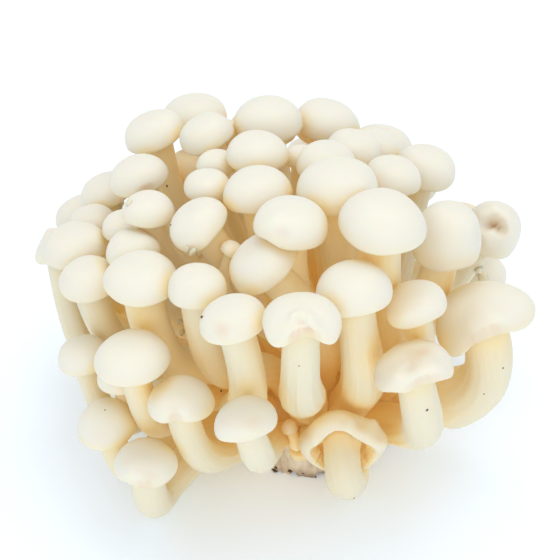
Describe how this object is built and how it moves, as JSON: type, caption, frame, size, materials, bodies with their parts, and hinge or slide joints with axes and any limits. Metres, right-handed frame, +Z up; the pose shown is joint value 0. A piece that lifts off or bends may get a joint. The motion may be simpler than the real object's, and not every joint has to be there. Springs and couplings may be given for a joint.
{
  "type": "bunch of white shimeji mushrooms",
  "caption": "Bunch of white shimeji mushrooms standing on its cut butt, with round gilled caps on long curved stems and a low brown woody base",
  "frame": {"origin": "middle of the flat cut face under the butt, where the bunch rests", "axes": "+Z up out of the cut face through the bunch, +X to the right and +Y away from the viewer of the picture"},
  "size_m": [0.1238, 0.1299, 0.0882],
  "materials": {
    "mushroom_flesh": "smooth satin cream-white mushroom flesh, warm ochre in the shade between stems",
    "butt": "dull fibrous beige to brown mushroom base with dark crumbs at the rim"
  },
  "bodies": {
    "root": {"back_1": "mushroom_flesh", "back_10": "mushroom_flesh", "back_2": "mushroom_flesh", "back_3": "mushroom_flesh", "back_4": "mushroom_flesh", "back_5": "mushroom_flesh", "back_6": "mushroom_flesh", "back_7": "mushroom_flesh", "back_8": "mushroom_flesh", "back_9": "mushroom_flesh", "butt": "butt", "crown_1": "mushroom_flesh", "crown_2": "mushroom_flesh", "crown_3": "mushroom_flesh", "crown_4": "mushroom_flesh", "crown_5": "mushroom_flesh", "crown_6": "mushroom_flesh", "crown_7": "mushroom_flesh", "crown_8": "mushroom_flesh", "double_left": "mushroom_flesh", "double_middle": "mushroom_flesh", "front": "mushroom_flesh", "left_1": "mushroom_flesh", "left_2": "mushroom_flesh", "left_3": "mushroom_flesh", "left_4": "mushroom_flesh", "left_5": "mushroom_flesh", "left_6": "mushroom_flesh", "left_7": "mushroom_flesh", "left_8": "mushroom_flesh", "left_9": "mushroom_flesh", "low_1": "mushroom_flesh", "low_2": "mushroom_flesh", "low_3": "mushroom_flesh", "low_4": "mushroom_flesh", "low_5": "mushroom_flesh", "low_6": "mushroom_flesh", "middle_1": "mushroom_flesh", "middle_2": "mushroom_flesh", "middle_3": "mushroom_flesh", "middle_4": "mushroom_flesh", "middle_5": "mushroom_flesh", "middle_6": "mushroom_flesh", "middle_7": "mushroom_flesh", "pin_1": "mushroom_flesh", "pin_2": "mushroom_flesh", "right_1": "mushroom_flesh", "right_2": "mushroom_flesh", "right_3": "mushroom_flesh", "tiny": "mushroom_flesh", "upper_1": "mushroom_flesh", "upper_2": "mushroom_flesh", "upper_3": "mushroom_flesh", "upper_4": "mushroom_flesh", "upper_5": "mushroom_flesh", "upper_6": "mushroom_flesh", "upper_7": "mushroom_flesh", "upper_8": "mushroom_flesh", "upper_9": "mushroom_flesh"}
  },
  "joints": []
}
